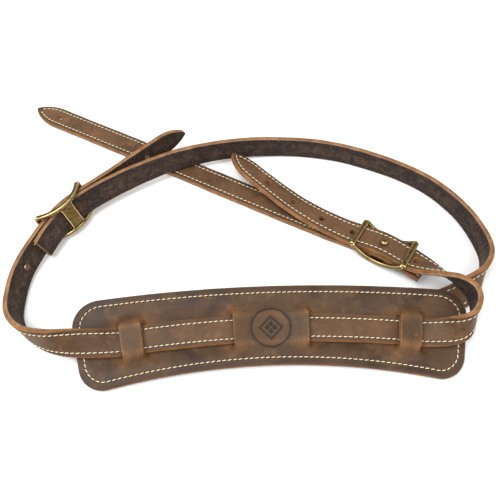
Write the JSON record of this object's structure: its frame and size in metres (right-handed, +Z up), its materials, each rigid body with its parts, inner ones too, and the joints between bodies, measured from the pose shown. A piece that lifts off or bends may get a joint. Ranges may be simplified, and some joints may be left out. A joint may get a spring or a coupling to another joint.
{
  "type": "leather instrument strap",
  "caption": "Narrow stitched leather strap woven through a wide curved shoulder pad, with two bar buckles and pointed tail ends that button onto an instrument.",
  "frame": {"origin": "on the table under the middle of the whole footprint", "axes": "+X to the right along the shoulder pad, +Y away from the pad across the loop, +Z up from the table"},
  "size_m": [0.3622, 0.248, 0.0325],
  "materials": {
    "pad_leather": "oiled pull-up leather, rubbed lighter over the strap, fine scratches",
    "strap_leather": "oiled grain leather with burnished orange-brown edges",
    "lining_leather": "dark mottled flesh side with a pinkish brown edge",
    "thread": "waxed cream thread",
    "brass": "antiqued cast brass, darker in the recesses"
  },
  "bodies": {
    "strap": {"left_arm_face": "strap_leather", "left_arm_lining": "lining_leather", "left_arm_thread": "thread", "right_arm_face": "strap_leather", "right_arm_lining": "lining_leather", "right_arm_thread": "thread", "long_tail_face": "strap_leather", "long_tail_lining": "lining_leather", "long_tail_thread": "thread", "short_tail_face": "strap_leather", "short_tail_lining": "lining_leather", "short_tail_thread": "thread"},
    "pad": {"pad_face": "pad_leather", "pad_lining": "lining_leather", "pad_seam_thread": "thread", "woven_strap_face": "strap_leather", "woven_strap_lining": "lining_leather", "woven_strap_thread": "thread", "left_span_face": "strap_leather", "left_span_lining": "lining_leather", "left_span_thread": "thread", "right_span_face": "strap_leather", "right_span_lining": "lining_leather", "right_span_thread": "thread"},
    "left_tip": {"left_tip_face": "strap_leather", "left_tip_lining": "lining_leather", "left_tip_thread": "thread"},
    "right_tip": {"right_tip_face": "strap_leather", "right_tip_lining": "lining_leather", "right_tip_thread": "thread"},
    "button_end": {"button_end_face": "strap_leather", "button_end_lining": "lining_leather", "button_end_thread": "thread"},
    "left_buckle": {"left_buckle": "brass"},
    "right_buckle": {"right_buckle": "brass"}
  },
  "joints": [
    {"name": "pad_slide", "type": "slide", "parent": "strap", "child": "pad", "axis": [0.9994, 0.0349, 0], "range_m": [-0.006, 0.002], "deforming": ["left_span_face", "left_span_lining", "left_span_thread", "right_span_face", "right_span_lining", "right_span_thread"]},
    {"name": "left_tip_flex", "type": "hinge", "parent": "strap", "child": "left_tip", "pos_m": [-0.11799, 0.02401, 0.01324], "axis": [0, 0, 1], "range_deg": [0, 15], "stiffness_Nm_per_rad": 0.05},
    {"name": "right_tip_flex", "type": "hinge", "parent": "strap", "child": "right_tip", "pos_m": [0.08448, -0.00796, 0.00664], "axis": [0.3461, 0.9382, 0.0031], "range_deg": [0, 13], "stiffness_Nm_per_rad": 0.05},
    {"name": "button_end_flex", "type": "hinge", "parent": "strap", "child": "button_end", "pos_m": [-0.09123, 0.07763, 0.002], "axis": [0.4424, 0.8968, 0], "range_deg": [0, 20], "stiffness_Nm_per_rad": 0.05},
    {"name": "left_buckle_rock", "type": "hinge", "parent": "strap", "child": "left_buckle", "pos_m": [-0.13394, 0.00819, 0.01308], "axis": [-0.751, 0.5835, -0.309], "range_deg": [-0.4, 0.4]},
    {"name": "right_buckle_rock", "type": "hinge", "parent": "strap", "child": "right_buckle", "pos_m": [0.10356, -0.01941, 0.01175], "axis": [-0.1015, 0.0665, 0.9926], "range_deg": [-1, 1]}
  ]
}
